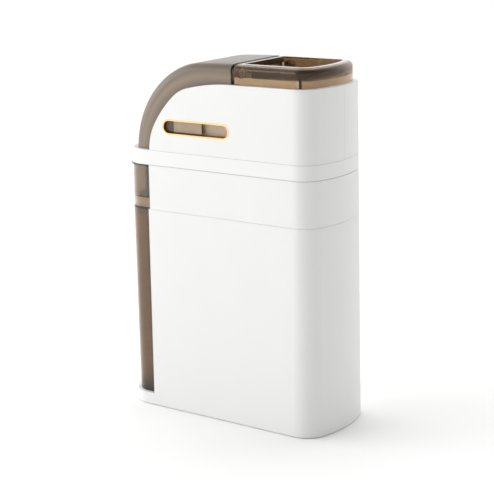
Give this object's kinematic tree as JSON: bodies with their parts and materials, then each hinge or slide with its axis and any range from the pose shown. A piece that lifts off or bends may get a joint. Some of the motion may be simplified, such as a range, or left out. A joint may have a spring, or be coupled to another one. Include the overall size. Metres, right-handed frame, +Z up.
{
  "type": "trash compactor",
  "caption": "Slim free-standing hand-operated waste compactor with a smoky liner, a sliding side press and a flip-up lid ring.",
  "frame": {"origin": "on the floor under the centre of the plan outline", "axes": "+Z up, the front faces -Y, +X to the right seen from the front, towards the lid ring"},
  "size_m": [0.3224, 0.1404, 0.481],
  "materials": {
    "white_shell": "satin white moulding",
    "white_band": "satin white moulding",
    "white_inner": "matte white moulding",
    "rubber_foot": "matte",
    "steel_screw": "zinc plated",
    "smoky_bucket": "translucent smoked brown",
    "smoky_skirt": "translucent smoked brown",
    "smoky_hood": "translucent smoked brown",
    "smoky_lid": "translucent smoked brown",
    "dark_seal": "matte",
    "pale_silicone": "matte",
    "gold_trim": "satin gold",
    "dark_plastic": "matte dark brown",
    "steel_pin": "polished",
    "steel_rod": "ground",
    "bronze_bush": "sintered",
    "steel_hanger": "brushed",
    "press_plastic": "matte grey",
    "rubber_wiper": "matte",
    "grip_plastic": "dark brown",
    "tan_strip": "translucent tan"
  },
  "bodies": {
    "base": {"outer_sleeve": "white_shell", "base_plate": "white_inner", "rubber_feet": "rubber_foot", "base_screws": "steel_screw"},
    "bucket": {"inner_bucket": "smoky_bucket", "rim_collar": "white_inner"},
    "upper": {"hood_skirt": "smoky_skirt", "skirt_shell": "white_shell", "band_ring": "white_band", "upper_front_shell": "white_shell", "upper_rear_shell": "white_shell", "slot_trim": "gold_trim", "roof_hood": "smoky_hood", "hood_seal": "dark_seal", "skirt_screws": "steel_screw", "shell_screws": "steel_screw", "hood_screws": "steel_screw", "mouth_frame": "white_inner", "hinge_brackets": "white_inner", "hinge_pins": "steel_pin", "lid_bumpers": "pale_silicone", "guide_rods": "steel_rod", "left_rod_block": "dark_plastic", "right_rod_block": "dark_plastic"},
    "lid": {"lid_ring": "smoky_lid", "lid_gasket": "pale_silicone"},
    "press": {"press_carriage": "dark_plastic", "carriage_bushes": "bronze_bush", "press_hanger": "steel_hanger", "hanger_screws": "steel_screw", "press_plate": "press_plastic", "plate_wiper": "rubber_wiper", "plate_screws": "steel_screw", "slide_grip": "grip_plastic", "outer_dust_strip": "tan_strip", "inner_dust_strip": "tan_strip"}
  },
  "joints": [
    {"name": "bucket_lift", "type": "slide", "parent": "base", "child": "bucket", "axis": [0, 0, 1], "range_m": [0, 0.3]},
    {"name": "upper_lift", "type": "slide", "parent": "bucket", "child": "upper", "axis": [0, 0, 1], "range_m": [0, 0.3]},
    {"name": "lid_flip", "type": "hinge", "parent": "upper", "child": "lid", "pos_m": [0.0405, 0, 0.4705], "axis": [0, -1, 0], "range_deg": [0, 90]},
    {"name": "press_slide", "type": "slide", "parent": "upper", "child": "press", "axis": [1, 0, 0], "range_m": [0, 0.09]}
  ]
}
